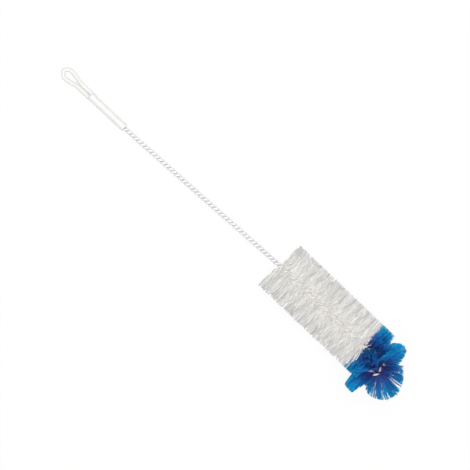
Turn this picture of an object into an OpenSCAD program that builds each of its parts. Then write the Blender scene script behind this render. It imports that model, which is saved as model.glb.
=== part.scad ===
// Bottle brush of twisted wire, in millimetres.
// One wire is folded at its middle into a hanging loop. Its two legs are twisted together, and the
// twist grips every filament at the filament's middle, so each half turn of the wire carries one row
// of bristle. The tip is bent into a hook, which spreads its bristles into a fan.
// The brush lies as it comes to rest: on the end of the loop and on the rear edge of the bristles.

/* [Wire] */
// Diameter of the wire
wire_d = 2.2; // [1.8:0.1:2.4]
// Gap between the two strands of the stem
strand_gap = 0.1; // [0.06:0.02:0.3]
// Length of one turn of the twist in the stem
stem_turn = 7.9; // [7.5:0.1:12]
// Length of the bare stem, from the sleeve to the first bristles
stem_length = 179.5; // [80:0.5:260]

/* [Loop] */
// Outer diameter of the soft cover on the loop
cover_d = 3.9; // [3.4:0.1:4.1]
// Radial gap between the wire and its cover
cover_gap = 0.1; // [0.05:0.01:0.2]
// Bend radius at the end of the loop, on the wire's centre line
loop_tip_r = 2.1; // [2:0.1:4]
// Length of the straight flank beside the tip
loop_flank = 2.2; // [1.5:0.1:8]
// Bend radius of the loop's shoulders
loop_shoulder_r = 4; // [2.5:0.1:8]
// Bend radius of the loop's long sides
loop_side_r = 30; // [10:1:45]
// Angle at which the legs close in on each other
loop_taper = 14; // [8:0.5:17]
// Length over which the two covered legs lie side by side
neck_length = 12.8; // [4:0.1:30]

/* [Sleeve] */
// Outer diameter of the handle sleeve
sleeve_d = 7; // [6.4:0.1:10]
// Length of the handle sleeve
sleeve_length = 40.4; // [30:0.1:120]
// Radial gap between the sleeve and the twisted wire
sleeve_gap = 0.1; // [0.05:0.01:0.3]
// Length of the widened mouth that takes in the two legs
mouth_length = 6; // [5:0.5:12]
// Wall of the sleeve at its mouth
mouth_wall = 0.6; // [0.4:0.05:1]

/* [Bristles] */
// Diameter over the tips of the bristles
head_d = 50; // [30:1:70]
// Length of wire that carries one white row
white_row_length = 8.1; // [7:0.1:12]
// Length of wire that carries one row of the blue collar
collar_row_length = 6.6; // [6:0.1:12]
// Width of a tuft at its tip, on the head
tuft_width = 7.4; // [3:0.1:7.6]
// Thickness of the filaments where the wires pinch them
pinch = 0.25; // [0.15:0.05:0.4]
// Radius out to which neighbouring tufts are still joined
tuft_root_r = 5.5; // [4.5:0.5:12]
// How far the tips give where the brush rests on them
tip_give = 0.8; // [0.4:0.1:1.5]

/* [Hook] */
// Bend radius of the hooked tip, on the axis of the twist
hook_r = 6; // [5.5:0.1:10]
// Straight length between the collar and the hook
hook_lead = 5.2; // [3.5:0.1:10]
// Straight length from the hook to the cut end of the wire
hook_tail = 5.8; // [2:0.1:7]
// Width of a tuft at its tip, on the fan
fan_tuft_width = 7.4; // [3:0.1:7.4]
// Length of the bristles on the hook, from the axis of the twist
fan_r = 24.8; // [15:0.1:32]
// How far the outer bristles on the hook lie down into its plane: 1 leaves them round the wire
fan_flatness = 1.8; // [1:0.1:2]

/* [Bends] */
// Heading of the handle, seen from above
handle_heading = -0.95; // [-3:0.05:3]
// Turn of the stem just below the sleeve
handle_bend = 2; // [-5:0.1:5]
// Turn of the stem where it meets the bristles
head_bend = -2.2; // [-5:0.1:5]

/* [Hidden] */
WHITE_ROWS = 12;
COLLAR_ROWS = 2;
FAN_ROWS = 3;
TUFTS = 20; // tufts round the wire in one row
STRAND_SIDES = 6;
RINGS_A_TURN = 7; // cross-sections of a strand in one turn of the twist
HOOK_RINGS = 8; // cross-sections of a strand in each row of the hook
SMOOTH = 48; // any value above 12 makes a true round

function numbered(name, count) = [for (i = [1:count]) str(name, i < 10 ? "0" : "", i)];

steel = [0.76, 0.77, 0.78];
soft_white = [0.95, 0.95, 0.92];
nylon_white = [0.87, 0.87, 0.84];
nylon_blue = [0.05, 0.36, 0.68];

// Half the loop, from its tip: [length, turn in degrees] of each piece of its centre line
leg_offset = cover_d / 2 + strand_gap / 2;
leg_bend_r = 12;
half_width = (loop_tip_r + loop_flank) * sin(45) + loop_shoulder_r * (1 - cos(45));
closed_by_bends = (loop_side_r + leg_bend_r) * (1 - cos(loop_taper));
leg_length = (half_width - closed_by_bends - leg_offset) / sin(loop_taper);
half_loop = [
    [arc(loop_tip_r, 45), -45],
    [loop_flank, 0],
    [arc(loop_shoulder_r, 45), -45],
    [arc(loop_side_r, loop_taper), -loop_taper],
    [leg_length, 0],
    [arc(leg_bend_r, loop_taper), loop_taper],
];
LOOP_RINGS = [3, 1, 4, 2, 1, 1]; // cross-sections of the wire in each of these pieces
TUBE_LAP = 0.05; // how far a piece of the cover laps into the next
TUBE_STEP = 0.01; // how much thinner the lapping pieces are, on either side of the wall
half_loop_length = sum([for (piece = half_loop) piece[0]]);
loop_length = walk(half_loop, half_loop_length, [0, 0, 90])[0];

straight_share = 0.6; // share of the sleeve in which the two legs are not yet twisted

// Stations along the axis, from the loop's tip
mouth = loop_length + neck_length;
sleeve_end = mouth + sleeve_length;
head_start = sleeve_end + stem_length;
twist_start = mouth + straight_share * sleeve_length;
first_row = head_start + tuft_width / 2 - white_row_length / TUFTS;
collar_start = first_row + WHITE_ROWS * white_row_length;
fan_start = collar_start + COLLAR_ROWS * collar_row_length;
hook_start = fan_start + hook_lead;
fan_end = hook_start + arc(hook_r, 180) + hook_tail;
fan_row_length = (fan_end - fan_start) / FAN_ROWS;

// The axis of the twist: straight in the handle, a little bent at both ends of the stem, hooked at the tip
handle_bend_length = 12;
head_bend_length = 30;
axis_path = [
    [sleeve_end, 0],
    [handle_bend_length, handle_bend],
    [stem_length - handle_bend_length - head_bend_length / 2, 0],
    [head_bend_length, head_bend],
    [hook_start - head_start - head_bend_length / 2, 0],
    [arc(hook_r, 180), -180],
    [fan_end - hook_start, 0],
];

// The twist, as [length, half turns] from twist_start on. The rows start with the strands nearly level:
// row_turn sets the two lowest tufts of the first row on either side of the brush's centre of mass.
row_turn = 4.5;
stem_half_turns = round(2 * (first_row - twist_start) / stem_turn) + row_turn / 180;
twist_path = [
    [first_row - twist_start, stem_half_turns],
    [WHITE_ROWS * white_row_length, WHITE_ROWS],
    [COLLAR_ROWS * collar_row_length, COLLAR_ROWS],
    [FAN_ROWS * fan_row_length, FAN_ROWS],
];

// Distance of each strand's centre line from the axis
pinch_gap = 0.45; // what the strands keep clear of the pinched filaments, both sides together
stem_offset = (wire_d + strand_gap) / 2;
head_offset = (wire_d + pinch + pinch_gap) / 2;
parting = 3; // length over which the strands part for the first filaments
offsets = [
    [mouth, leg_offset],
    [mouth + mouth_length, stem_offset],
    [first_row - parting, stem_offset],
    [first_row, head_offset],
];

head_r = head_d / 2;
core_clear = 0.15;
core_r = head_offset + wire_d / 2 + core_clear; // a tuft starts to spread here, clear of the strands
row_gap = 0.1; // half the gap between one row and the next
tuft_gap = 0.5; // least gap between the tips of one row and the next
fan_leans = [[8, 22], [-12, 25], [0, 0]]; // forward lean of the outer tufts, from start to end of each row
hook_clear = 2.2; // what inward tufts keep clear of the hook's centre
hook_crowding = 0.8; // half width of an inward tuft, for each millimetre to the hook's centre
tail_clear = 0.4; // distance of the collar from the plane of the wire's cut end

// The rest pose: the loop's tip and the rear edge of the bristles touch the table
rest_x = head_start;
rest_depth = (head_r - tip_give) * cos(180 / TUFTS);
tilt = atan(rest_depth / rest_x) - asin(cover_d / 2 / norm([rest_x, rest_depth]));
hook_at = axis_at(hook_start);
tail_at = axis_at(fan_end);
hook_centre = [hook_at[0], hook_at[1]] + across(hook_at[2]) * -hook_r;
head_at = axis_at(first_row + head_bend_length);
centre_x = ((hook_centre[0] + hook_r + fan_r) * cos(tilt) - cover_d / 2) / 2;
centre_y = (hook_centre[1] - hook_r - fan_r + head_at[1] + head_r) / 2;

function arc(radius, angle) = radius * angle * PI / 180;
function sum(values, i = 0) = i < len(values) ? values[i] + sum(values, i + 1) : 0;
function unit(v) = v / norm(v);
function along(heading) = [cos(heading), sin(heading), 0];
function across(heading) = [-sin(heading), cos(heading)];
function turned(p, heading) = p[0] * [cos(heading), sin(heading)] + p[1] * across(heading);

// The place [x, y, heading] after going a distance d along a path of straights and arcs
function moved(piece, d) =
    piece[1] == 0 ? [d, 0, 0]
    : let (angle = piece[1] * d / piece[0], radius = piece[0] / (piece[1] * PI / 180))
        [radius * sin(angle), radius * (1 - cos(angle)), angle];
function walk(path, d, from, i = 0) =
    let (
        last = i == len(path) - 1 || d <= path[i][0],
        move = moved(path[i], last ? d : path[i][0]),
        shift = turned(move, from[2]),
        at = [from[0] + shift[0], from[1] + shift[1], from[2] + move[2]]
    )
    last ? at : walk(path, d - path[i][0], at, i + 1);
function axis_at(s) = walk(axis_path, s, [0, 0, handle_heading]);

// The twist is left-handed: the strands turn clockwise for someone who looks from the handle
function twisted(d, i = 0, half_turns = 0) =
    i == len(twist_path) - 1 || d <= twist_path[i][0]
    ? 180 * (half_turns + d * twist_path[i][1] / twist_path[i][0])
    : twisted(d - twist_path[i][0], i + 1, half_turns + twist_path[i][1]);
function strand_angle(s) = s <= twist_start ? 0 : -twisted(s - twist_start);
function round_axis(heading, angle) =
    let (side = across(heading)) [side[0] * cos(angle), side[1] * cos(angle), sin(angle)];

// Side faces and end caps of a solid whose cross-sections are rings of m points. Each quad is cut along
// the diagonal that follows the twist: on the sides from inner_from to inner_to, that is the other one.
function side_faces(count, m, inner_from = 1, inner_to = 0) = [
    for (i = [0:count - 2], j = [0:m - 1])
        let (a = i * m + j, b = i * m + (j + 1) % m)
        each j >= inner_from && j < inner_to ? [[a, b, a + m], [b, b + m, a + m]]
            : [[a, b, b + m], [a, b + m, a + m]]
];
function fan_cap(first, m) = [for (j = [1:m - 2]) [first, first + j + 1, first + j]];
function flipped(faces) = [for (f = faces) [f[2], f[1], f[0]]];

// Centre line of the wire, as [point, outward direction] pairs from one cut end to the other
function strand_at(s, side) =
    let (at = axis_at(s), out = side * round_axis(at[2], strand_angle(s)))
    [[at[0], at[1], 0] + lookup(s, offsets) * out, out];
function loop_at(d, side) =
    let (at = walk(half_loop, d, [0, 0, 90]), out = along(at[2] + 90))
    [for (v = [[at[0], at[1]], [out[0], out[1]]]) concat(turned([v[0], side * v[1]], handle_heading), 0)];
function spaced(from, to, count) = [for (i = [1:count]) from + (to - from) * i / count];

stem_rings = round((first_row - twist_start) / stem_turn * RINGS_A_TURN);
head_rings = round((WHITE_ROWS + COLLAR_ROWS) / 2 * RINGS_A_TURN);
strand_stations = concat(
    [mouth, mouth + mouth_length, twist_start],
    spaced(twist_start, first_row, stem_rings),
    spaced(first_row, fan_start, head_rings),
    spaced(fan_start, fan_end, FAN_ROWS * HOOK_RINGS)
);
loop_stations = [
    for (i = [0:len(half_loop) - 1])
        let (start = sum([for (j = [0:1:i - 1]) half_loop[j][0]]))
        each spaced(start, start + half_loop[i][0], LOOP_RINGS[i])
];

function wire_line() = let (n = len(strand_stations), m = len(loop_stations)) concat(
    [for (i = [n - 1:-1:0]) strand_at(strand_stations[i], 1)],
    [for (i = [m - 1:-1:0]) loop_at(loop_stations[i], 1)],
    [loop_at(0, 1)],
    [for (i = [0:m - 1]) loop_at(loop_stations[i], -1)],
    [for (i = [0:n - 1]) strand_at(strand_stations[i], -1)]
);

module core_wire() {
    line = wire_line();
    last = len(line) - 1;
    rings = [
        for (i = [0:last])
            let (
                ahead = unit(line[min(i + 1, last)][0] - line[max(i - 1, 0)][0]),
                out = unit(line[i][1] - (line[i][1] * ahead) * ahead),
                side = cross(ahead, out)
            )
            for (j = [0:STRAND_SIDES - 1])
                let (a = 360 * j / STRAND_SIDES)
                line[i][0] + wire_d / 2 * (cos(a) * out + sin(a) * side)
    ];
    color(steel) polyhedron(rings, concat(
        flipped(side_faces(last + 1, STRAND_SIDES, STRAND_SIDES / 3, STRAND_SIDES * 2 / 3)),
        flipped(fan_cap(0, STRAND_SIDES)),
        fan_cap(last * STRAND_SIDES, STRAND_SIDES)
    ));
}

// Soft tube over the loop and its two legs, as exact bends and straights. The wall of every second
// piece is a hair thinner and laps into its neighbours' walls, so that no two surfaces coincide.
module tube_piece(piece, step) {
    radius = piece[0] / (abs(piece[1]) * PI / 180);
    side = sign(piece[1]);
    if (side == 0) rotate([90, 0, 90]) linear_extrude(piece[0]) tube_ring(step);
    else translate([0, side * radius, 0]) rotate([0, 0, side > 0 ? -90 : 90 + piece[1]])
        rotate_extrude(angle = abs(piece[1]), $fn = SMOOTH) translate([radius, 0]) tube_ring(step);
}
module tube_ring(step) {
    difference() {
        circle(d = cover_d - 2 * step, $fn = SMOOTH);
        circle(d = wire_d + 2 * cover_gap + 2 * step, $fn = SMOOTH);
    }
}
function longer(piece, by) = [piece[0] + by, piece[1] * (piece[0] + by) / piece[0]];
module half_cover() {
    pieces = concat(half_loop, [[neck_length - cover_gap, 0]]);
    for (i = [0:len(pieces) - 1]) {
        thin = i % 2;
        at = walk(pieces, sum([for (j = [0:1:i - 1]) pieces[j][0]]), [0, 0, 90]);
        back = moved(pieces[i], -thin * TUBE_LAP);
        shift = turned(back, at[2]);
        translate([at[0] + shift[0], at[1] + shift[1], 0]) rotate([0, 0, at[2] + back[2]])
            tube_piece(longer(pieces[i], 2 * thin * TUBE_LAP), thin * TUBE_STEP);
    }
}
module loop_cover() {
    color(soft_white) rotate([0, 0, handle_heading]) {
        half_cover();
        mirror([0, 1, 0]) half_cover();
    }
}

module handle_sleeve() {
    bore_r = stem_offset + wire_d / 2 + sleeve_gap;
    mouth_r = leg_offset + wire_d / 2 + sleeve_gap;
    edge = 0.4; // chamfer of the lower end
    color(soft_white) rotate([0, 0, handle_heading]) translate([mouth, 0, 0]) rotate([90, 0, 90])
        rotate_extrude($fn = SMOOTH) polygon([
            [mouth_r, 0],
            [mouth_r + mouth_wall, 0],
            [max(sleeve_d / 2, bore_r + mouth_wall), mouth_length],
            [max(sleeve_d / 2, bore_r + mouth_wall), sleeve_length - edge],
            [max(sleeve_d / 2, bore_r + mouth_wall) - edge, sleeve_length],
            [bore_r, sleeve_length],
            [bore_r, mouth_length],
        ]);
}

// An outer tuft of the fan lies down towards the hook's plane and leans forward, by the row's own leans
function outer_dir(at, dir, lean) =
    let (
        out = round_axis(at[2], 0),
        angle = acos(dir * out),
        flat = 90 * pow(angle / 90, fan_flatness),
        tip_dir = cos(flat) * out + [0, 0, sign(dir[2]) * sin(flat)]
    )
    cos(lean * cos(flat)) * tip_dir + sin(lean * cos(flat)) * along(at[2]);

// One side of a row's cross-section at the place at, held along dir: the middle of its tip, and how far
// the tip spreads backward and forward. It stops at the table and short of the hook's centre, narrows
// inside the hook, and leans back or forward beside the wire's cut end, where collar and fan meet.
function spread(r, full_r, width) = (pinch + (width - pinch) * (r - core_r) / (full_r - core_r)) / 2;
function tuft(s, at, dir, tip, full_r, width, lean) =
    let (
        in_fan = s >= fan_start,
        inward = -(dir * concat(across(at[2]), 0)),
        tip_dir = in_fan && inward < 0 ? outer_dir(at, dir, lean) : dir,
        height = cover_d / 2 + (at[0] - width / 2) * sin(tilt),
        above_table = dir[2] < 0 ? height / (-dir[2] * cos(tilt)) : tip,
        outside_centre = in_fan && inward > 0 ? (hook_r - hook_clear) / inward : tip,
        r = min(tip, above_table, outside_centre),
        half = min(spread(r, full_r, width), in_fan ? hook_crowding * (hook_r - inward * r) : head_r),
        to_tail = ([tail_at[0], tail_at[1]] - [at[0], at[1]]) * turned([1, 0], at[2]),
        forward = in_fan ? (s > fan_end - hook_tail ? to_tail + tail_clear / 2 : half)
            : inward * r > hook_r ? to_tail - tail_clear : half
    )
    [core_r * dir + (r - core_r) * tip_dir, half, min(half, forward)];

// One row of bristle: a strip that goes from tip to tip between the two strands and turns with them.
// Every second cross-section reaches out to the tips, so that the strip parts into tufts.
module row(start, length, full_r, width, tint, leans = [0, 0]) {
    rise = PI / length; // turn of the filaments for each millimetre along the axis, in radians
    rings = [
        for (k = [0:TUFTS])
            let (
                s = start + row_gap + k * (length - 2 * row_gap) / TUFTS,
                at = axis_at(s),
                angle = strand_angle(s) + 90,
                dir = round_axis(at[2], angle),
                turn = round_axis(at[2], angle - 90),
                ahead = along(at[2]),
                tip = k % 2 == 1 ? full_r : tuft_root_r,
                lean = leans[0] + (leans[1] - leans[0]) * k / TUFTS,
                lean_a = unit(core_r * rise * ahead - turn) * pinch / 2,
                lean_b = unit(-core_r * rise * ahead - turn) * pinch / 2,
                a = tuft(s, at, dir, tip, full_r, width, lean),
                b = tuft(s, at, -dir, tip, full_r, width, lean),
                centre = [at[0], at[1], 0]
            )
            each [
                centre + a[0] + a[2] * ahead,
                centre + core_r * dir + lean_a,
                centre - core_r * dir + lean_b,
                centre + b[0] - b[1] * ahead,
                centre + b[0] + b[2] * ahead,
                centre - core_r * dir - lean_b,
                centre + core_r * dir - lean_a,
                centre + a[0] - a[1] * ahead
            ]
    ];
    color(tint) polyhedron(rings, concat(
        flipped(side_faces(TUFTS + 1, 8)), flipped(strip_cap(0)), strip_cap(8 * TUFTS)
    ));
}
function strip_cap(first) = [
    for (j = [0:2]) let (a = first + j, b = first + 7 - j) each [[a, b, b - 1], [a, b - 1, a + 1]]
];

module white_row(i) {
    width = min(tuft_width, white_row_length - tuft_gap);
    row(first_row + i * white_row_length, white_row_length, head_r, width, nylon_white);
}
module collar_row(i) {
    width = min(tuft_width, collar_row_length - tuft_gap);
    row(collar_start + i * collar_row_length, collar_row_length, head_r, width, nylon_blue);
}
module fan_row(i) {
    start = fan_start + i * fan_row_length;
    row(start, fan_row_length, fan_r, fan_tuft_width, nylon_blue, fan_leans[i]);
}

// From the brush's own axis to the table: the origin is under the middle of the brush
module lying() {
    translate([-centre_x, -centre_y, cover_d / 2]) rotate([0, -tilt, 0]) children();
}

lying() core_wire();
lying() loop_cover();
lying() handle_sleeve();
for (i = [0:WHITE_ROWS - 1]) lying() white_row(i);
for (i = [0:COLLAR_ROWS - 1]) lying() collar_row(i);
for (i = [0:FAN_ROWS - 1])
    lying() fan_row(i);
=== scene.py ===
"""Bottle brush of twisted wire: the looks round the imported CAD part.

The wire, its cover and the sleeve are swept again as smooth pieces, and every row of bristle is
replaced by single filaments that the wire grips at their middle. Lengths are in millimetres, along
or across the brush's own axis, unless a comment says metres; lying() takes points to the row frame.
"""

import math

import bpy
import numpy as np
from mathutils import Matrix, Vector


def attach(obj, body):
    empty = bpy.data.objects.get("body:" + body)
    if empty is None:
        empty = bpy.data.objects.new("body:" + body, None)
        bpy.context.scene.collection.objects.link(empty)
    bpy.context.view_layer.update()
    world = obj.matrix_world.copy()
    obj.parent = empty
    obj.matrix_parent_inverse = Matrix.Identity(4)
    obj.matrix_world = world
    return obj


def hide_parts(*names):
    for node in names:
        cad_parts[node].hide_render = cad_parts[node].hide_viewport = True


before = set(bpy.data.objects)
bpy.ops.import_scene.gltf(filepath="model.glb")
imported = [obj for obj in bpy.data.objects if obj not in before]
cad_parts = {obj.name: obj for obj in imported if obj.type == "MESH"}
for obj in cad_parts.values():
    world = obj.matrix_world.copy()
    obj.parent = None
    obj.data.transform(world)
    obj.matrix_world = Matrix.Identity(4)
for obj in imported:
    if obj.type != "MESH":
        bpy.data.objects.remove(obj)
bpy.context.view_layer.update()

MM = 0.001
SEED = 20
ABOVE = np.array([0, 0, 1.0])

# Sizes of the CAD source, with radii in place of its diameters
WIRE_R = 1.1
STRAND_GAP = 0.1
STEM_TURN = 7.9
STEM_LENGTH = 179.5
COVER_R = 1.95
COVER_GAP = 0.1
NECK_LENGTH = 12.8
LOOP_TIP_R = 2.1
LOOP_FLANK = 2.2
LOOP_SHOULDER_R = 4.0
LOOP_SIDE_R = 30.0
LOOP_TAPER = 14.0
LEG_BEND_R = 12.0
SLEEVE_R = 3.5
SLEEVE_LENGTH = 40.4
SLEEVE_GAP = 0.1
MOUTH_LENGTH = 6.0
MOUTH_WALL = 0.6
STRAIGHT_SHARE = 0.6
HEAD_R = 25.0
WHITE_ROWS, WHITE_ROW_LENGTH = 12, 8.1
COLLAR_ROWS, COLLAR_ROW_LENGTH = 2, 6.6
FAN_ROWS = 3
TUFTS = 20
TUFT_WIDTH = 7.4
ROW_TURN = 4.5
TIP_GIVE = 0.8
PINCHED_GAP = 0.7
PARTING = 3.0
HOOK_R = 6.0
HOOK_LEAD = 5.2
HOOK_TAIL = 5.8
FAN_R = 24.8
HANDLE_HEADING = math.radians(-0.95)
HANDLE_BEND, HANDLE_BEND_LENGTH = 2.0, 12.0
HEAD_BEND, HEAD_BEND_LENGTH = -2.2, 30.0


# ---------------------------------------------------------------- the brush's own lines


def arc(radius, angle):
    return radius * math.radians(angle)


def moved(length, turn, d):
    """Step [ahead, left, turn] after a distance d along one straight or arc."""
    if turn == 0:
        return d, 0 * d, 0 * d
    radius = length / math.radians(turn)
    angle = d / radius
    return radius * np.sin(angle), radius * (1 - np.cos(angle)), angle


def after(at, step):
    """The place [x, y, heading] that a step leads to from the place at."""
    ahead, left, turn = step
    cos, sin = math.cos(at[2]), math.sin(at[2])
    x, y = ahead * cos - left * sin, ahead * sin + left * cos
    return np.array([at[0] + x, at[1] + y, at[2] + turn])


def walk(path, distances, start):
    """Places x, y and headings after each distance along a path of (length, turn) pieces."""
    d = np.atleast_1d(np.asarray(distances, float))
    places = np.zeros((3, len(d)))
    at, begun = np.array(start, float), 0.0
    for i, (length, turn) in enumerate(path):
        here = d >= begun if i else np.ones(len(d), bool)
        places[:, here] = after(at, moved(length, turn, d[here] - begun))
        at = after(at, moved(length, turn, length))
        begun += length
    return places


# Distance from the axis to a strand's centre, in the cover, in the stem and in the head
LEG_OFFSET = COVER_R + STRAND_GAP / 2
STEM_OFFSET = WIRE_R + STRAND_GAP / 2
HEAD_OFFSET = WIRE_R + PINCHED_GAP / 2

# Half the width of the loop at its shoulders, and the straight legs that close it to LEG_OFFSET
HALF_WIDTH = (LOOP_TIP_R + LOOP_FLANK) * math.sin(math.pi / 4)
HALF_WIDTH += LOOP_SHOULDER_R * (1 - math.cos(math.pi / 4))
CLOSED_BY_BENDS = (LOOP_SIDE_R + LEG_BEND_R) * (1 - math.cos(math.radians(LOOP_TAPER)))
LEG_LENGTH = (HALF_WIDTH - CLOSED_BY_BENDS - LEG_OFFSET) / math.sin(math.radians(LOOP_TAPER))

# Half the loop, from its tip: length and turn in degrees of each piece of its centre line
HALF_LOOP = [
    (arc(LOOP_TIP_R, 45), -45),
    (LOOP_FLANK, 0),
    (arc(LOOP_SHOULDER_R, 45), -45),
    (arc(LOOP_SIDE_R, LOOP_TAPER), -LOOP_TAPER),
    (LEG_LENGTH, 0),
    (arc(LEG_BEND_R, LOOP_TAPER), LOOP_TAPER),
]
HALF_LOOP_LENGTH = sum(length for length, turn in HALF_LOOP)
LOOP_START = (0, 0, math.pi / 2)

# Stations along the axis, from the loop's tip
MOUTH = walk(HALF_LOOP, HALF_LOOP_LENGTH, LOOP_START)[0, 0] + NECK_LENGTH
SLEEVE_END = MOUTH + SLEEVE_LENGTH
HEAD_START = SLEEVE_END + STEM_LENGTH
TWIST_START = MOUTH + STRAIGHT_SHARE * SLEEVE_LENGTH
FIRST_ROW = HEAD_START + TUFT_WIDTH / 2 - WHITE_ROW_LENGTH / TUFTS
COLLAR_START = FIRST_ROW + WHITE_ROWS * WHITE_ROW_LENGTH
FAN_START = COLLAR_START + COLLAR_ROWS * COLLAR_ROW_LENGTH
HOOK_START = FAN_START + HOOK_LEAD
HOOK_END = HOOK_START + arc(HOOK_R, 180)
FAN_END = HOOK_END + HOOK_TAIL
FAN_ROW_LENGTH = (FAN_END - FAN_START) / FAN_ROWS

AXIS_PATH = [
    (SLEEVE_END, 0),
    (HANDLE_BEND_LENGTH, HANDLE_BEND),
    (STEM_LENGTH - HANDLE_BEND_LENGTH - HEAD_BEND_LENGTH / 2, 0),
    (HEAD_BEND_LENGTH, HEAD_BEND),
    (HOOK_START - HEAD_START - HEAD_BEND_LENGTH / 2, 0),
    (arc(HOOK_R, 180), -180),
    (HOOK_TAIL, 0),
]


def axis_at(stations):
    """Points on the axis, and the directions ahead and to the left of it there."""
    x, y, heading = walk(AXIS_PATH, stations, (0, 0, HANDLE_HEADING))
    cos, sin, zero = np.cos(heading), np.sin(heading), 0 * heading
    return np.stack([x, y, zero], -1), np.stack([cos, sin, zero], -1), np.stack([-sin, cos, zero], -1)


def direction(angle, left):
    """The direction square to the axis at an angle from the left of it; a quarter turn is up."""
    return np.cos(angle)[:, None] * left + np.sin(angle)[:, None] * ABOVE


def strand_angle(stations):
    """How far the left-handed twist has turned, in radians."""
    stem_half_turns = round(2 * (FIRST_ROW - TWIST_START) / STEM_TURN) + ROW_TURN / 180
    knots = [TWIST_START, FIRST_ROW, COLLAR_START, FAN_START, FAN_END]
    half_turns = np.cumsum([0, stem_half_turns, WHITE_ROWS, COLLAR_ROWS, FAN_ROWS])
    return -math.pi * np.interp(stations, knots, half_turns)


def smooth(share):
    """From 0 to 1 like share, but level at both ends."""
    return share * share * (3 - 2 * share)


def strand_offset(stations):
    """Distance from the axis to a strand's centre, eased from each of its values to the next."""
    knots = [MOUTH, MOUTH + MOUTH_LENGTH, FIRST_ROW - PARTING, FIRST_ROW]
    offsets = np.array([LEG_OFFSET, STEM_OFFSET, STEM_OFFSET, HEAD_OFFSET])
    place = np.interp(stations, knots, np.arange(len(knots)))
    i = np.minimum(place.astype(int), len(knots) - 2)
    part = smooth(place - i)
    return offsets[i] * (1 - part) + offsets[i + 1] * part


# The rest pose: the brush lies on the end of its loop and on the rear edge of the bristles
REST_DEPTH = (HEAD_R - TIP_GIVE) * math.cos(math.pi / TUFTS)
TILT = math.atan(REST_DEPTH / HEAD_START) - math.asin(COVER_R / math.hypot(HEAD_START, REST_DEPTH))
HOOK_ENTRY, _, HOOK_LEFT = (rows[0] for rows in axis_at([HOOK_START]))
HOOK_CENTRE = HOOK_ENTRY - HOOK_R * HOOK_LEFT
HEAD_SIDE = axis_at([FIRST_ROW + HEAD_BEND_LENGTH])[0][0, 1]
CENTRE_X = ((HOOK_CENTRE[0] + HOOK_R + FAN_R) * math.cos(TILT) - COVER_R) / 2
CENTRE_Y = (HOOK_CENTRE[1] - HOOK_R - FAN_R + HEAD_SIDE + HEAD_R) / 2
UP = np.array([-math.sin(TILT), 0, math.cos(TILT)])  # the brush's own +Z, in the row frame


def lying(points):
    """From the brush's own axis, in millimetres, to the row frame, in metres."""
    x, y, z = points[..., 0], points[..., 1], points[..., 2]
    cos, sin = math.cos(TILT), math.sin(TILT)
    return np.stack([x * cos - z * sin - CENTRE_X, y - CENTRE_Y, x * sin + z * cos + COVER_R], -1) * MM


def unit(vectors):
    return vectors / np.linalg.norm(vectors, axis=-1, keepdims=True)


# ---------------------------------------------------------------- meshes

ROW_MARGIN = 0.04  # what a row of a folded map leaves free on either side, as a share of its height
CAP_IN_MAP = 0.002  # length of a tube's end cap in its map


def swept(lines, outs, radii, sides):
    """Rings of vertices round one or many centre lines; outs gives where each ring starts."""
    ahead = unit(np.gradient(lines, axis=-2))
    out = unit(outs - (outs * ahead).sum(-1, keepdims=True) * ahead)
    side = np.cross(ahead, out)
    angle = 2 * math.pi * np.arange(sides)[:, None] / sides
    round_it = np.cos(angle) * out[..., None, :] + np.sin(angle) * side[..., None, :]
    return lines[..., None, :] + np.asarray(radii)[..., None, None] * round_it


def straight_map(u, bands):
    """Map of many tubes side by side: u [tube, ring] along them, one band [low, high] for each."""
    shape = (len(bands), u.shape[1] - 1)
    parts = (u[:, :-1], u[:, 1:], bands[:, :1], bands[:, 1:])
    return [np.broadcast_to(part, shape) for part in parts]


def folded_map(rings, rows):
    """Map of one long tube, cut into rows that lie one above the other."""
    per_row = math.ceil((rings - 1) / rows)
    row, place = np.divmod(np.arange(rings - 1), per_row)
    low, high = (row + ROW_MARGIN) / rows, (row + 1 - ROW_MARGIN) / rows
    return [part[None] for part in (place / per_row, (place + 1) / per_row, low, high)]


def caps(shape, near, far, low, high):
    """Faces that close both ends of every tube, and their places in the map."""
    tubes, count, sides = shape
    around = np.arange(sides)
    angle = 2 * math.pi * (around + 0.5) / sides
    ends = (
        (0, around[::-1], near[:, :1], CAP_IN_MAP, low[:, :1], high[:, :1]),
        ((count - 1) * sides, around, far[:, -1:], -CAP_IN_MAP, low[:, -1:], high[:, -1:]),
    )
    faces, uv = [], []
    for first, order, end, depth, bottom, top in ends:
        faces += (np.arange(tubes)[:, None] * count * sides + first + order).tolist()
        cap_u = end + depth * (0.5 - 0.5 * np.cos(angle[order]))
        cap_v = bottom + (top - bottom) * (0.5 + 0.5 * np.sin(angle[order]))
        uv.append(np.stack([cap_u, cap_v], -1).reshape(-1, 2))
    return faces, uv


def placed(name, data):
    """A new object of the data, linked to the scene."""
    made = bpy.data.objects.new(name, data)
    bpy.context.scene.collection.objects.link(made)
    return made


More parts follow.
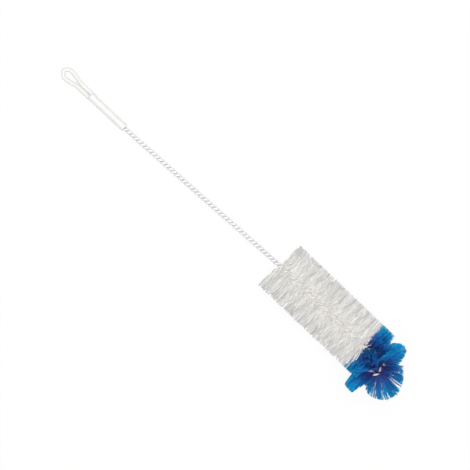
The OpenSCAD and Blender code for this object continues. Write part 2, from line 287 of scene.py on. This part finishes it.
def tube_mesh(name, rings, capped, near, far, low, high):
    """A mesh of tubes from rings [tube, ring, side]. Each length of tube between two rings has its
    place in the map: near to far along the tube, low to high round it."""
    tubes, count, sides = rings.shape[:3]
    t, r, k = np.meshgrid(np.arange(tubes), np.arange(count - 1), np.arange(sides), indexing="ij")
    a = (t * count + r) * sides + k
    b = (t * count + r) * sides + (k + 1) % sides
    faces = np.stack([a, b, b + sides, a + sides], -1).reshape(-1, 4).tolist()
    left, width = low[t, r], high[t, r] - low[t, r]
    here, there = left + width * k / sides, left + width * (k + 1) / sides
    corners = [near[t, r], here, near[t, r], there, far[t, r], there, far[t, r], here]
    uv = np.stack(corners, -1).reshape(-1, 2)
    if capped:
        cap_faces, cap_uv = caps(rings.shape[:3], near, far, low, high)
        faces += cap_faces
        uv = np.concatenate([uv, *cap_uv])
    mesh = bpy.data.meshes.new(name)
    mesh.from_pydata(lying(rings).reshape(-1, 3).tolist(), [], faces)
    for layer in ("strand", "OFBake"):
        mesh.uv_layers.new(name=layer).data.foreach_set("uv", uv.ravel())
    mesh.shade_smooth()
    return placed(name, mesh)


def dress(piece, slot, finish, node):
    piece.data.materials.append(finish)
    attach(piece, "root")
    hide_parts(node)


# ---------------------------------------------------------------- camera, light, floor

FRAME_PIXELS = 470
PHOTO_PIXEL = 0.8644  # one pixel of the frame at the brush
VIEW_CENTRE = np.array([205.07, -4.75, 0.0])  # the brush's point in the middle of the frame
VIEW_TURN = math.radians(42.55)  # how far the brush's axis points down to the right
CAMERA_DISTANCE = 1.5  # metres
SENSOR = 36.0  # width of the camera's sensor


def place_camera():
    data = bpy.data.cameras.new("camera")
    data.sensor_width = SENSOR
    data.lens = SENSOR * CAMERA_DISTANCE / (FRAME_PIXELS * PHOTO_PIXEL * MM)
    camera = placed("camera", data)
    right = lying(np.array([math.cos(VIEW_TURN), math.sin(VIEW_TURN), 0])) - lying(np.zeros(3))
    right = Vector(right).normalized()
    back = Vector(UP)
    aim = Matrix((right, back.cross(right), back)).transposed().to_4x4()
    stand = Vector(lying(VIEW_CENTRE)) + back * CAMERA_DISTANCE
    camera.matrix_world = Matrix.Translation(stand) @ aim
    bpy.context.scene.camera = camera


place_camera()


def emptied(owner):
    """Clears the node tree of a material or a world; returns functions that add a node and a link
    to it. A setting is an attribute of the node, or else one of its inputs."""
    owner.use_nodes = True
    tree = owner.node_tree
    tree.nodes.clear()

    def add(kind, **settings):
        node = tree.nodes.new(kind)
        for key, value in settings.items():
            if hasattr(node, key):
                setattr(node, key, value)
            else:
                node.inputs[key.replace("_", " ")].default_value = value
        return node

    return add, tree.links.new


def calculated(add, link, operation, *values):
    """A calculation on one to three values, each of them a number or a socket."""
    node = add("ShaderNodeMath", operation=operation)
    for socket, value in zip(node.inputs, values):
        if isinstance(value, float):
            socket.default_value = value
        else:
            link(value, socket)
    return node.outputs[0]


def ranged(add, link, value, low, high, given=(0.0, 1.0), **settings):
    """The value, taken from the given range to the range from low to high."""
    ends = dict(From_Min=given[0], From_Max=given[1], To_Min=low, To_Max=high)
    node = add("ShaderNodeMapRange", **ends, **settings)
    link(value, node.inputs["Value"])
    return node.outputs[0]


def seen_directly(add, link):
    """1 for camera, glossy and transmission rays: the rays that show a background."""
    rays = add("ShaderNodeLightPath").outputs
    either = calculated(add, link, "MAXIMUM", rays["Is Camera Ray"], rays["Is Glossy Ray"])
    return calculated(add, link, "MAXIMUM", either, rays["Is Transmission Ray"])


WORLD_LEVEL = 0.45  # the world as a light; seen directly, it is 1
KEY_WATTS = 16.0
KEY_SIZE = 1.0  # metres
KEY_PLACE = (-0.1, 0.1, 1.6)  # metres
FLOOR_SHADOW = 0.12  # share of the floor's look that takes shadows
FLOOR_GLOW = 1.03  # the floor's own white, seen directly
FLOOR_GREY = 0.8
FLOOR_HALF = 4.0  # metres


def light_scene():
    world = bpy.data.worlds.new("world")
    bpy.context.scene.world = world
    add, link = emptied(world)
    background = add("ShaderNodeBackground", Color=(1, 1, 1, 1))
    level = ranged(add, link, seen_directly(add, link), WORLD_LEVEL, 1.0)
    link(level, background.inputs["Strength"])
    link(background.outputs[0], add("ShaderNodeOutputWorld").inputs["Surface"])
    key = bpy.data.lights.new("key", "AREA")
    key.shape = "SQUARE"
    key.size = KEY_SIZE
    key.energy = KEY_WATTS
    lamp = placed("key", key)
    lamp.location = KEY_PLACE
    lamp.rotation_euler = (-Vector(KEY_PLACE)).to_track_quat("-Z", "Y").to_euler()


def lay_floor():
    made = bpy.data.materials.new("floor")
    add, link = emptied(made)
    diffuse = add("ShaderNodeBsdfDiffuse", Color=(FLOOR_GREY, FLOOR_GREY, FLOOR_GREY, 1))
    glow = add("ShaderNodeEmission", Color=(1, 1, 1, 1), Strength=FLOOR_GLOW)
    shown = calculated(add, link, "MULTIPLY", seen_directly(add, link), 1 - FLOOR_SHADOW)
    mix = add("ShaderNodeMixShader")
    link(shown, mix.inputs["Fac"])
    link(diffuse.outputs[0], mix.inputs[1])
    link(glow.outputs[0], mix.inputs[2])
    link(mix.outputs[0], add("ShaderNodeOutputMaterial").inputs["Surface"])
    mesh = bpy.data.meshes.new("floor")
    corners = [(x * FLOOR_HALF, y * FLOOR_HALF, 0) for x, y in ((-1, -1), (1, -1), (1, 1), (-1, 1))]
    mesh.from_pydata(corners, [], [(0, 1, 2, 3)])
    mesh.materials.append(made)
    placed("floor", mesh)


light_scene()
lay_floor()


# ---------------------------------------------------------------- finishes

# Colours, as (position, colour) stops
WIRE_TINTS = [(0.3, (0.73, 0.73, 0.725)), (0.65, (0.84, 0.84, 0.835))]
VINYL_TINTS = [(0.3, (0.89, 0.885, 0.85)), (0.7, (0.95, 0.95, 0.93))]
# the warm white is the nylon's own; lighter at the grip and darker towards the tips is painted light and
# shade
WHITE_TINTS_AND_PAINTED_LIGHT = [(0.0, (1.0, 0.98, 0.94)), (0.5, (0.95, 0.935, 0.9)), (1.0, (0.66, 0.67, 0.67))]
# the blue is the dye; the dark violet towards the grip is painted shade, for the depth seen down into
# the tufts
BLUE_TINTS_AND_PAINTED_SHADE = [
    (0.0, (0.1, 0.015, 0.18)),
    (0.25, (0.07, 0.048, 0.33)),
    (0.5, (0.025, 0.17, 0.57)),
    (0.8, (0.003, 0.36, 0.78)),
    (1.0, (0.008, 0.51, 0.87)),
]
WIRE_ROUGHNESS = (0.7, 0.55)  # from the duller to the brighter patches
NOISE_RANGE = (0.3, 0.7)  # where nearly all of a noise's values lie
PAINTED_ROW_SHADE_RANGE = (0.45, 1.0)  # lean at which a filament starts to get painted shade, and at which it is darkest


def shader(name, **settings):
    """A new material with one surface; returns it, its surface, and functions to add and link."""
    made = bpy.data.materials.new(name)
    add, link = emptied(made)
    surface = add("ShaderNodeBsdfPrincipled", **settings)
    link(surface.outputs[0], add("ShaderNodeOutputMaterial").inputs["Surface"])
    return made, surface, add, link


def strand_noise(add, link, along, across, detail=2.0):
    """Noise stretched along the strands of the piece's own "strand" map."""
    uv = add("ShaderNodeUVMap", uv_map="strand")
    stretch = add("ShaderNodeMapping", Scale=(along, across, 1))
    noise = add("ShaderNodeTexNoise", Scale=1.0, Detail=detail)
    link(uv.outputs[0], stretch.inputs["Vector"])
    link(stretch.outputs[0], noise.inputs["Vector"])
    return noise.outputs["Fac"]


def object_noise(add, link, scale, detail=2.0):
    place = add("ShaderNodeTexCoord")
    noise = add("ShaderNodeTexNoise", Scale=scale, Detail=detail)
    link(place.outputs["Object"], noise.inputs["Vector"])
    return noise.outputs["Fac"]


def tinted(add, link, value, stops):
    """The colour between the stops at a value."""
    node = add("ShaderNodeValToRGB")
    elements = node.color_ramp.elements
    while len(elements) > 1:
        elements.remove(elements[-1])
    elements[0].position, elements[0].color = stops[0][0], (*stops[0][1], 1)
    for position, colour in stops[1:]:
        elements.new(position).color = (*colour, 1)
    link(value, node.inputs["Fac"])
    return node.outputs["Color"]


def roughen(add, link, surface, height, strength, distance):
    """A bump on the surface; its distance is in metres."""
    bump = add("ShaderNodeBump", Strength=strength, Distance=distance)
    link(height, bump.inputs["Height"])
    link(bump.outputs[0], surface.inputs["Normal"])


def wire_finish():
    """Galvanised wire: pale, with fine draw lines and duller patches."""
    made, surface, add, link = shader("drawn wire", Metallic=0.8)
    patches = strand_noise(add, link, along=60, across=300, detail=3.0)
    lines = strand_noise(add, link, along=25, across=2500, detail=1.0)
    link(tinted(add, link, patches, WIRE_TINTS), surface.inputs["Base Color"])
    link(ranged(add, link, patches, *WIRE_ROUGHNESS), surface.inputs["Roughness"])
    roughen(add, link, surface, lines, strength=0.25, distance=0.00005)
    return made


def vinyl_finish():
    """Soft white vinyl: satin, a little creamy, faintly uneven."""
    soft = dict(Subsurface_Weight=0.15, Subsurface_Radius=(0.002, 0.002, 0.0018), Subsurface_Scale=0.5)
    made, surface, add, link = shader("soft vinyl", Roughness=0.32, **soft)
    patches = object_noise(add, link, scale=140.0, detail=3.0)
    grain = object_noise(add, link, scale=900.0)
    link(tinted(add, link, patches, VINYL_TINTS), surface.inputs["Base Color"])
    roughen(add, link, surface, grain, strength=0.3, distance=0.0001)
    return made


def from_grip(add, link):
    """How far a place on a filament is from the wire's grip, 0, towards its tips, 1, as its map gives
    it; upright arms are mapped nearer the grip, for painted light and shade.
    """
    uv = add("ShaderNodeUVMap", uv_map="strand")
    parts = add("ShaderNodeSeparateXYZ")
    link(uv.outputs[0], parts.inputs[0])
    from_middle = calculated(add, link, "SUBTRACT", parts.outputs["X"], 0.5)
    reach = calculated(add, link, "ABSOLUTE", from_middle)
    return calculated(add, link, "MULTIPLY", reach, 2.0)


def nylon_finish(name, tints, patches, shades, hue_spread, row_edge, glow, painted_glow_strength):
    """Nylon filament. tints give its colour from the grip to the tips, painted light and shade
    included. A noise with the given patches along and across the row multiplies it by one of the
    shades and shifts its hue. Where a filament leans far over to the next row it is darker, down to
    the given factor: painted shade in the creases between rows. A painted glow, an emission in the
    colour glow at the given strength, stands in for light that goes on from filament to filament."""
    # painted glow: an emission that stands in for light passed on through the nylon
    emitted = dict(Emission_Color=(*glow, 1), Emission_Strength=painted_glow_strength)
    made, surface, add, link = shader(name, Roughness=0.4, Specular_IOR_Level=0.15, **emitted)
    noise = strand_noise(add, link, *patches)
    lift = ranged(add, link, noise, *shades, NOISE_RANGE)
    hue = ranged(add, link, noise, 0.5 + hue_spread, 0.5 - hue_spread, NOISE_RANGE)
    leaning = add("ShaderNodeAttribute", attribute_name="row_edge").outputs["Fac"]
    # painted shade where a filament leans over to the next row
    row_shade = ranged(add, link, leaning, 1.0, row_edge, PAINTED_ROW_SHADE_RANGE, interpolation_type="SMOOTHSTEP")
    shade = add("ShaderNodeHueSaturation")
    link(hue, shade.inputs["Hue"])
    link(calculated(add, link, "MULTIPLY", lift, row_shade), shade.inputs["Value"])
    link(tinted(add, link, from_grip(add, link), tints), shade.inputs["Color"])
    link(shade.outputs["Color"], surface.inputs["Base Color"])
    return made


# ---------------------------------------------------------------- wire, cover, sleeve

WIRE_STEP = 0.5  # length between two rings of the wire
WIRE_SIDES = 16
WIRE_MAP_ROWS = 12
CUT_EDGE = 0.25  # the cut ends are a little rounded over
CUT_LOSS = 0.45  # share of its section that the wire loses there
COVER_STEP = 0.6  # length between two rings of the cover
COVER_SIDES = 28
COVER_MAP_ROWS = 4
SLEEVE_SIDES = 48
SLEEVE_EDGE = 0.4  # radius of the sleeve's rounded end
MOUTH_RINGS, GRIP_RINGS, EDGE_RINGS = 9, 30, 5


def strand_line(stations, side):
    centre, ahead, left = axis_at(stations)
    out = side * direction(strand_angle(stations), left)
    return centre + strand_offset(stations)[:, None] * out, out


def loop_line(distances, side):
    x, y, heading = walk(HALF_LOOP + [(NECK_LENGTH, 0)], distances, LOOP_START)
    out = np.stack([-np.sin(heading), np.cos(heading)], -1) * np.array([1, side])
    flat = np.stack([x, side * y], -1)
    cos, sin = math.cos(HANDLE_HEADING), math.sin(HANDLE_HEADING)
    turn = np.array([[cos, sin], [-sin, cos]])
    pad = np.zeros((len(x), 1))
    return np.hstack([flat @ turn, pad]), np.hstack([out @ turn, pad])


def stepped(start, end, step):
    return np.linspace(start, end, max(2, round((end - start) / step) + 1))


def whole_wire_line():
    """Centre line of the wire from one cut end, round the loop, to the other."""
    along = stepped(MOUTH, FAN_END, WIRE_STEP)
    around = stepped(0, HALF_LOOP_LENGTH + NECK_LENGTH, WIRE_STEP)[:-1]
    up, up_out = strand_line(along, 1)
    down, down_out = strand_line(along, -1)
    left, left_out = loop_line(around, 1)
    right, right_out = loop_line(around[1:], -1)
    line = np.concatenate([up[::-1], left[::-1], right, down])
    out = np.concatenate([up_out[::-1], left_out[::-1], right_out, down_out])
    return line, out


def build_wire():
    line, out = whole_wire_line()
    steps = np.linalg.norm(np.diff(line, axis=0), axis=1)
    length = np.concatenate([[0], np.cumsum(steps)])
    inset = np.clip(np.minimum(length, length[-1] - length) / CUT_EDGE, 0, 1)
    radii = WIRE_R * np.sqrt(1 - CUT_LOSS * (1 - inset) ** 2)
    rings = swept(line, out, radii, WIRE_SIDES)[None]
    piece = tube_mesh("wire", rings, True, *folded_map(len(line), WIRE_MAP_ROWS))
    dress(piece, "wire", wire_finish(), "core_wire")


def build_cover(finish):
    """The soft tube over the loop: its wall has an outside, an inside and two open ends."""
    around = stepped(0, HALF_LOOP_LENGTH + NECK_LENGTH - COVER_GAP, COVER_STEP)
    left, left_out = loop_line(around, 1)
    right, right_out = loop_line(around[1:], -1)
    line = np.concatenate([left[::-1], right])
    out = np.concatenate([left_out[::-1], right_out])
    outer = swept(line, out, np.full(len(line), COVER_R), COVER_SIDES)
    inner = swept(line, out, np.full(len(line), WIRE_R + COVER_GAP), COVER_SIDES)[::-1]
    rings = np.concatenate([outer, inner, outer[:1]])
    piece = tube_mesh("cover", rings[None], False, *folded_map(len(rings), COVER_MAP_ROWS))
    dress(piece, "soft_vinyl", finish, "loop_cover")


def sleeve_profile():
    """[station, radius] round the sleeve's wall: a widened mouth, a plain grip, a rounded end and
    the bore."""
    bore = STEM_OFFSET + WIRE_R + SLEEVE_GAP
    mouth_bore = LEG_OFFSET + WIRE_R + SLEEVE_GAP
    mouth_r = mouth_bore + MOUTH_WALL
    grip_end = SLEEVE_LENGTH - SLEEVE_EDGE
    profile = [(0, mouth_bore), (0, mouth_r)]
    for share in np.linspace(0, 1, MOUTH_RINGS)[1:]:
        profile.append((share * MOUTH_LENGTH, mouth_r + (SLEEVE_R - mouth_r) * smooth(share)))
    profile += [(station, SLEEVE_R) for station in np.linspace(MOUTH_LENGTH, grip_end, GRIP_RINGS)[1:]]
    for angle in np.linspace(0, math.pi / 2, EDGE_RINGS)[1:]:
        inset = SLEEVE_EDGE * (1 - math.cos(angle))
        profile.append((grip_end + SLEEVE_EDGE * math.sin(angle), SLEEVE_R - inset))
    profile += [(SLEEVE_LENGTH, bore), (MOUTH_LENGTH, bore), (0, mouth_bore)]
    return np.array(profile)


def build_sleeve(finish):
    """The handle sleeve, turned about the axis."""
    profile = sleeve_profile()
    centre, ahead, left = axis_at([MOUTH])
    round_it = direction(2 * math.pi * np.arange(SLEEVE_SIDES) / SLEEVE_SIDES, left)
    rings = centre + profile[:, :1, None] * ahead[None] + profile[:, 1:, None] * round_it[None]
    piece = tube_mesh("sleeve", rings[None, :, ::-1], False, *folded_map(len(profile), 1))
    dress(piece, "soft_vinyl", finish, "handle_sleeve")


# ---------------------------------------------------------------- bristle

FILAMENT_R = 0.13
FILAMENT_SIDES = 3
ARM_POINTS = 5  # points on an arm's centre line, from its root to its tip
BAND_MARGIN = 0.05  # what a filament's band of the map leaves free on either side
GOLDEN = (math.sqrt(5) - 1) / 2
CORE_R = 2.6  # a filament is held straight out to here
TRIM = 0.15  # how unevenly the tips are cut
STRAY_TURN = 80.0  # how far a stray strand may turn round the wire, in degrees
PAINTED_UPRIGHT_SHARE = 0.6  # how much of the grip's colour an upright arm keeps: painted shade in the blue, painted light in the white
RING_START = np.array([0.3, 0.2, 0.93])  # where the rings of a filament start
STEEP = 0.9  # a filament that points more this way than that
STEEP_RING_START = np.array([0.9, 0.4, 0.1])  # has its rings start here instead

# Ends of the head and the collar, and where the white and the blue tips meet
END_PLAY = 0.3  # how far tips reach past the head's start and past the collar's end
MINGLED = 1.2  # how far white tips reach in among the blue ones
HEAD_SKEW = 2.0  # the head starts this much further on at its left, and further back at its right
HEAD_LEAN = -1.5  # the first row leans back to the head's square end
LEAD_IN = 3.2  # its first filaments sit where the strands begin to part
FIRST_ROW_EXTRA = 1.25  # and it is this much denser

# Where the brush rests on the table
TABLE_CLEAR = 0.14  # least height of a filament's centre line
BENT_CHORD, BENT_SHARE = 1.7, 0.8  # how far a tip that is bent up moves to the side

# The bristles on the hook
FAN_FLATNESS = 3.0  # how far the outward arms of the hook lie down into its plane
INWARD_FLATNESS = 1.1  # and the inward ones
FAN_UPRIGHT = 0.4  # how far the flattest strands stand up, as a share of the most upright ones' rise
FAN_SHUFFLE = 0.15  # how far strands of the fan stray from their order
FAN_OPENING = 0.2  # how far the upright arms lean out after the others
FAN_STRETCH = 1.05  # the arms that lie in the hook's plane fill the whole reach
LIFT = 2.7  # height at which inward arms pass over the far side of the hook
LIFT_LENGTH = 5.0  # and the distance in which they get there

# A row has count filaments, which lie together in strands. A strand turns round the wire by up to
# turn degrees, or stray, a share of them, by up to STRAY_TURN. Its tips lean along the axis by up to
# splay. Its arms bulge by crowding times their lean, by curl for a strand and by bow for a filament.
# own is the play of each filament's tip. On the hook turn is a standard deviation, nothing is stray.
WHITE_STYLE = dict(
    count=330, strands=66, turn=16.0, stray=0.15, splay=4.3, crowding=0.3, curl=0.55, bow=0.12, own=0.22
)
COLLAR_STYLE = dict(
    count=560, strands=112, turn=20.0, stray=0.25, splay=3.5, crowding=0.3, curl=0.25, bow=0.2, own=0.2
)
FAN_STYLE = dict(count=900, strands=150, turn=5.0, stray=0.0, crowding=0.1, curl=0.1, bow=0.6, own=0.12)

# Where the tips of each row on the hook reach to, along and across the brush's axis: the outward
# arms and the inward arms, each from the start of the row to its end
FAN_TIPS = [
    (
        [(362.5, 13.5), (365.5, 17.4), (369.0, 19.0), (373.5, 22.4), (378.0, 23.3)]
        + [(382.2, 21.6), (384.0, 17.0), (385.2, 11.5), (388.0, 7.0)],
        [(352.5, -23.0), (356.0, -24.5), (359.5, -24.5)],
    ),
    (
        [(387.6, 10.5), (390.0, 7.6), (393.0, 4.9), (396.5, 0.7), (399.4, -4.8)]
        + [(400.8, -10.8), (400.5, -15.5), (398.2, -20.5), (394.3, -24.4)]
        + [(389.3, -27.2), (384.5, -28.5), (379.0, -26.5), (373.6, -22.0)],
        [(357.0, -19.0), (352.6, -6.0), (359.0, 8.6)],
    ),
    (
        [(373.0, -22.0), (371.6, -31.5), (371.2, -36.4), (367.0, -36.6), (362.7, -35.5), (362.0, -29.0)],
        [(378.5, 9.0), (375.0, 12.5), (368.0, 12.8)],
    ),
]


def spread_evenly(rng, count):
    """Values from -1 to 1 in a scattered order that leaves no gaps between neighbours."""
    return 2 * ((np.arange(count) * GOLDEN + rng.random()) % 1) - 1


def shared(values, count):
    """Gives every filament the value of its strand."""
    return values[np.arange(count) * len(values) // count]


def turn_limits(rng, style):
    return np.where(rng.random(style["strands"]) < style["stray"], STRAY_TURN, style["turn"])


def straight_tips(rng, stations, angle, full_r, style, ends, lean):
    """Tips of a row on the straight part. They lean along the axis, but not past the ends; the low
    end is askew, because the row starts earlier on one side than on the other."""
    count, strands = style["count"], style["strands"]
    limits = turn_limits(rng, style)
    turn = np.radians(shared(rng.uniform(-1, 1, strands) * limits, count))
    reached = stations + lean + shared(spread_evenly(rng, strands) * style["splay"], count)
    low, high, skew = ends
    low = low + skew * np.cos(angle)
    reached = np.where(reached < low, 2 * low - reached, reached)
    reached = np.where(reached > high, 2 * high - reached, reached)
    centre, ahead, left = axis_at(stations)
    radius = full_r - np.abs(rng.normal(0, TRIM, count))
    outward = radius[:, None] * direction(angle + turn, left)
    return centre + outward + (reached - stations)[:, None] * ahead


def fan_targets(rng, places, reaches, style):
    """For every filament a point on the outward reach and one on the inward reach. places are its
    places on them, from pi / 2 at their start to -pi / 2 at their end."""
    count, strands = style["count"], style["strands"]
    for reach, place in zip(reaches, places):
        shuffled = shared(rng.uniform(-1, 1, strands), count) * FAN_SHUFFLE
        share = 0.5 - FAN_STRETCH * place / math.pi + shuffled
        folded_in = (1 - np.abs(1 - np.abs(share))) * (len(reach) - 1)
        knots = np.arange(len(reach))
        yield np.stack([np.interp(folded_in, knots, column) for column in zip(*reach)], -1)


def fan_tips(rng, centre, angle, style, reaches):
    """Tips of a row on the hook. angle is 0 outward in the hook's plane, and most filaments lie
    close to that plane, fanned out over the given reaches."""
    count, strands = style["count"], style["strands"]
    outward = np.abs(angle) < math.pi / 2
    from_plane = np.where(outward, angle, np.sign(angle) * math.pi - angle)
    target = np.where(outward[:, None], *fan_targets(rng, (angle, -from_plane), reaches, style))
    upright = np.abs(from_plane / (math.pi / 2))
    some = shared(0.5 + 0.5 * spread_evenly(rng, strands), count)
    outward_upright = (FAN_UPRIGHT + (1 - FAN_UPRIGHT) * some) * upright**FAN_FLATNESS
    upright = np.where(outward, outward_upright, upright**INWARD_FLATNESS)
    limits = turn_limits(rng, style)
    flat = np.sign(from_plane) * math.pi / 2 * upright
    flat = flat + np.radians(shared(rng.normal(0, 1, strands) * limits, count))
    trimmed = 1 - np.abs(rng.normal(0, TRIM, count)) / FAN_R
    outreach = (np.cos(flat) + FAN_OPENING * np.abs(np.sin(flat))) * trimmed
    in_plane = centre[:, :2] + (target - centre[:, :2]) * outreach[:, None]
    return np.hstack([in_plane, (np.sin(flat) * trimmed * FAN_R)[:, None]])


def arm_lines(rng, root, tips, ahead, style):
    """Points of every arm from its root to its tip; strands curl a little on the way."""
    count = style["count"]
    leaning = ((tips - root) * ahead).sum(-1, keepdims=True) * ahead
    curl = shared(rng.normal(0, style["curl"], (style["strands"], 3)), count)
    curl = curl + style["crowding"] * leaning + rng.normal(0, style["bow"], (count, 3))
    tips = tips + rng.normal(0, style["own"], (count, 3))
    share = np.linspace(0, 1, ARM_POINTS)[None, :, None]
    return root[:, None] + (tips - root)[:, None] * share + curl[:, None] * 4 * share * (1 - share)


def passed_over(lines, root, angle):
    """Inward arms of the hook, lifted over or under its far side."""
    inward = np.clip(-np.cos(angle), 0, 1)[:, None]
    gone = np.linalg.norm(lines - root[:, None], axis=-1)
    rise = LIFT * np.clip(gone / LIFT_LENGTH, 0, 1) * inward
    lines[..., 2] = np.where(np.sin(angle)[:, None] >= 0, 1, -1) * np.hypot(lines[..., 2], rise)
    return lines


def row_filaments(rng, start, length, full_r, style, ends=None, lean=0, reaches=None):
    """Centre lines [filament, point] of one row, tip to tip. Each filament passes between the
    strands at its own station. A row on the hook has reaches, and any other row has ends."""
    count = style["count"]
    stations = start + length * (np.arange(count) + rng.random(count)) / count
    centre, ahead, left = axis_at(stations)
    arms = []
    for half_turn in (0, math.pi):
        angle = strand_angle(stations) + math.pi / 2 + half_turn
        angle = (angle + math.pi) % (2 * math.pi) - math.pi
        root = centre + CORE_R * direction(angle, left)
        if reaches is None:
            tips = straight_tips(rng, stations, angle, full_r, style, ends, lean)
            arms.append(arm_lines(rng, root, tips, ahead, style))
        else:
            tips = fan_tips(rng, centre, angle, style, reaches)
            arms.append(passed_over(arm_lines(rng, root, tips, ahead, style), root, angle))
    return np.concatenate([arms[0][:, ::-1], centre[:, None], arms[1]], axis=1)


def pressed(lines):
    """Arms that would reach below the table bend up to it and out to the side."""
    world_z = lying(lines)[..., 2] / MM
    middle = lines.shape[1] // 2
    share = np.abs(np.linspace(-1, 1, lines.shape[1]))
    for arm, tip in ((slice(0, middle), 0), (slice(middle + 1, None), -1)):
        below = np.clip(TABLE_CLEAR - world_z[:, tip], 0, None)
        length = np.linalg.norm(lines[:, tip] - lines[:, middle], axis=-1)
        outward = np.sign(lines[:, tip, 1] - lines[:, middle, 1])
        profile = (share[arm] ** 2)[None]
        lines[:, arm, 2] += below[:, None] * profile / math.cos(TILT)
        aside = outward * np.sqrt(BENT_CHORD * below * length) * BENT_SHARE
        lines[:, arm, 1] += aside[:, None] * profile
    world_z = lying(lines)[..., 2] / MM
    lines[..., 2] += np.clip(TABLE_CLEAR - world_z, 0, None)
    return lines


def depth_in_tuft(lines):
    """Where every point lies in the colour of its filament: 0 and 1 at the tips, 0.5 at the grip.
    Arms that stand up keep more of the grip's colour: painted shade in the blue and painted light in the
    white, for the look down into them."""
    middle = lines.shape[1] // 2
    share = np.linspace(-1, 1, lines.shape[1])
    depth = np.empty(lines.shape[:2])
    for arm, tip in ((slice(0, middle + 1), 0), (slice(middle, None), -1)):
        reach = lines[:, tip] - lines[:, middle]
        upright = np.abs(reach[:, 2:]) / np.linalg.norm(reach, axis=-1, keepdims=True)
        # painted light and shade: upright arms keep more of the grip's colour
        depth[:, arm] = 0.5 + 0.5 * share[arm] * (1 - PAINTED_UPRIGHT_SHARE * upright**2)
    return depth


def filament_rings(lines):
    out = np.broadcast_to(RING_START, lines.shape)
    ahead = unit(np.gradient(lines, axis=-2))
    steep = np.abs((ahead * out).sum(-1, keepdims=True)) > STEEP
    out = np.where(steep.any(axis=1, keepdims=True), STEEP_RING_START, out)
    return swept(lines, out, np.full(lines.shape[:2], FILAMENT_R), FILAMENT_SIDES)


def mark_painted_row_shade(piece, lines, splay):
    """Gives the shader how far each point leans along the axis, as a share of the row's splay, for the
    painted shade in the creases between rows.
    """
    leaning = np.abs(lines[..., 0] - lines[:, lines.shape[1] // 2, None, 0]) / splay
    edge = piece.data.attributes.new("row_edge", "FLOAT", "POINT")
    edge.data.foreach_set("value", np.repeat(leaning.ravel(), FILAMENT_SIDES))


def build_row(node, start, length, full_r, style, slot, finish, **reach):
    rng = np.random.default_rng([SEED, ord(node[0]), int(node[-2:])])
    lines = pressed(row_filaments(rng, start, length, full_r, style, **reach))
    band = np.array([[BAND_MARGIN, 1 - BAND_MARGIN]])
    bands = (np.arange(style["count"])[:, None] + band) / style["count"]
    laid_out = straight_map(depth_in_tuft(lines), bands)
    piece = tube_mesh(node.replace("row", "filaments"), filament_rings(lines), True, *laid_out)
    if "splay" in style:
        mark_painted_row_shade(piece, lines, style["splay"])
    dress(piece, slot, finish, node)


def build_white():
    finish = nylon_finish(
        "white nylon",
        tints=WHITE_TINTS_AND_PAINTED_LIGHT,
        patches=(3.5, WHITE_STYLE["strands"]),
        shades=(0.25, 1.0),
        hue_spread=0.0,
        # painted shade in the creases between the white rows
        row_edge=0.57,
        glow=(1.0, 0.985, 0.96),
        # painted glow of the white nylon
        painted_glow_strength=0.32,
    )
    look = ("white_bristle", finish)
    ends = (HEAD_START - END_PLAY, COLLAR_START + MINGLED, HEAD_SKEW)
    for i in range(WHITE_ROWS):
        start = FIRST_ROW + i * WHITE_ROW_LENGTH - (0 if i else LEAD_IN)
        length = FIRST_ROW + (i + 1) * WHITE_ROW_LENGTH - start
        extra = 1 if i else FIRST_ROW_EXTRA
        style = dict(WHITE_STYLE, count=round(WHITE_STYLE["count"] * extra * length / WHITE_ROW_LENGTH))
        reach = dict(ends=ends, lean=0 if i else HEAD_LEAN)
        build_row(f"white_row_{i + 1:02d}", start, length, HEAD_R, style, *look, **reach)


def build_blue():
    finish = nylon_finish(
        "blue nylon",
        tints=BLUE_TINTS_AND_PAINTED_SHADE,
        patches=(1.5, 0.35 * FAN_STYLE["strands"]),
        shades=(0.5, 1.4),
        hue_spread=0.015,
        row_edge=1.0,
        glow=(0.0, 0.4, 1.0),
        # painted glow of the blue nylon
        painted_glow_strength=0.02,
    )
    look = ("blue_bristle", finish)
    ends = (COLLAR_START - MINGLED / 2, FAN_START + END_PLAY, 0)
    for i in range(COLLAR_ROWS):
        node, start = f"collar_row_{i + 1:02d}", COLLAR_START + i * COLLAR_ROW_LENGTH
        build_row(node, start, COLLAR_ROW_LENGTH, HEAD_R, COLLAR_STYLE, *look, ends=ends)
    for i, reaches in enumerate(FAN_TIPS):
        node, start = f"fan_row_{i + 1:02d}", FAN_START + i * FAN_ROW_LENGTH
        build_row(node, start, FAN_ROW_LENGTH, FAN_R, FAN_STYLE, *look, reaches=reaches)


vinyl = vinyl_finish()
build_wire()
build_cover(vinyl)
build_sleeve(vinyl)
build_white()
build_blue()

bpy.context.scene.view_settings.view_transform = "Standard"
